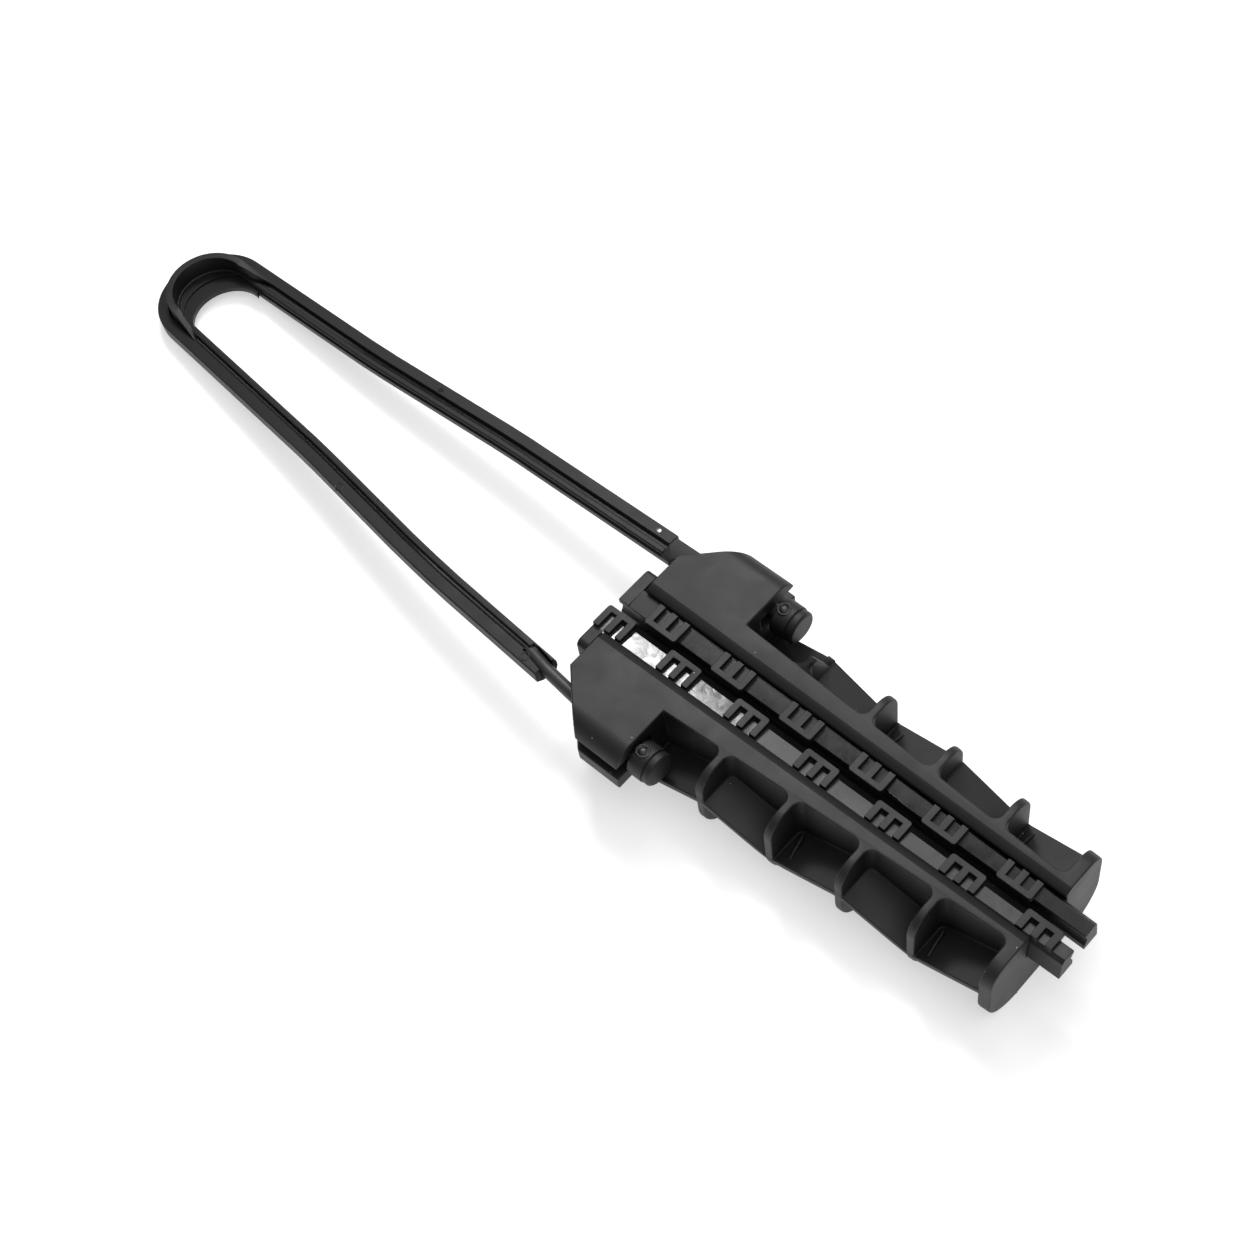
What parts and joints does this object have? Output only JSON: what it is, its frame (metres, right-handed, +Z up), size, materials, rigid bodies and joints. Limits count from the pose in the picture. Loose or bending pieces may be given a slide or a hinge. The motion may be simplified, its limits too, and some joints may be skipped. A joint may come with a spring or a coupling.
{
  "type": "anchor clamp",
  "caption": "Ribbed tapered clamp body with sliding wedges that grip a round aerial cable, and a long jacketed wire bail that hooks onto a bracket.",
  "frame": {"origin": "on the underside keel, below the middle of the head", "axes": "+X from the bail towards the narrow end of the body, +Y towards the far side of the picture, +Z up out of the open channel"},
  "size_m": [0.4568, 0.093, 0.038],
  "materials": {
    "body_plastic": "black glass-filled nylon, fine grain",
    "wedge_plastic": "black nylon, smooth",
    "coated_wire": "black coated steel wire",
    "jacket_plastic": "black moulded plastic, satin",
    "stop_plastic": "black moulded plastic, satin"
  },
  "bodies": {
    "body": {"body": "body_plastic"},
    "wedge_near": {"wedge_near": "wedge_plastic"},
    "wedge_far": {"wedge_far": "wedge_plastic"},
    "bail": {"bail_wire": "coated_wire", "bail_jacket": "jacket_plastic", "stop_near": "stop_plastic", "stop_far": "stop_plastic"}
  },
  "joints": [
    {"name": "wedge_near_slide", "type": "slide", "parent": "body", "child": "wedge_near", "axis": [0.9999, 0.0167, 0], "range_m": [-0.045, 0.0012]},
    {"name": "wedge_far_slide", "type": "slide", "parent": "body", "child": "wedge_far", "axis": [0.9999, -0.0167, 0], "range_m": [-0.045, 0.0012]},
    {"name": "bail_slide", "type": "slide", "parent": "body", "child": "bail", "axis": [1, 0, 0], "range_m": [0, 0.004]}
  ]
}
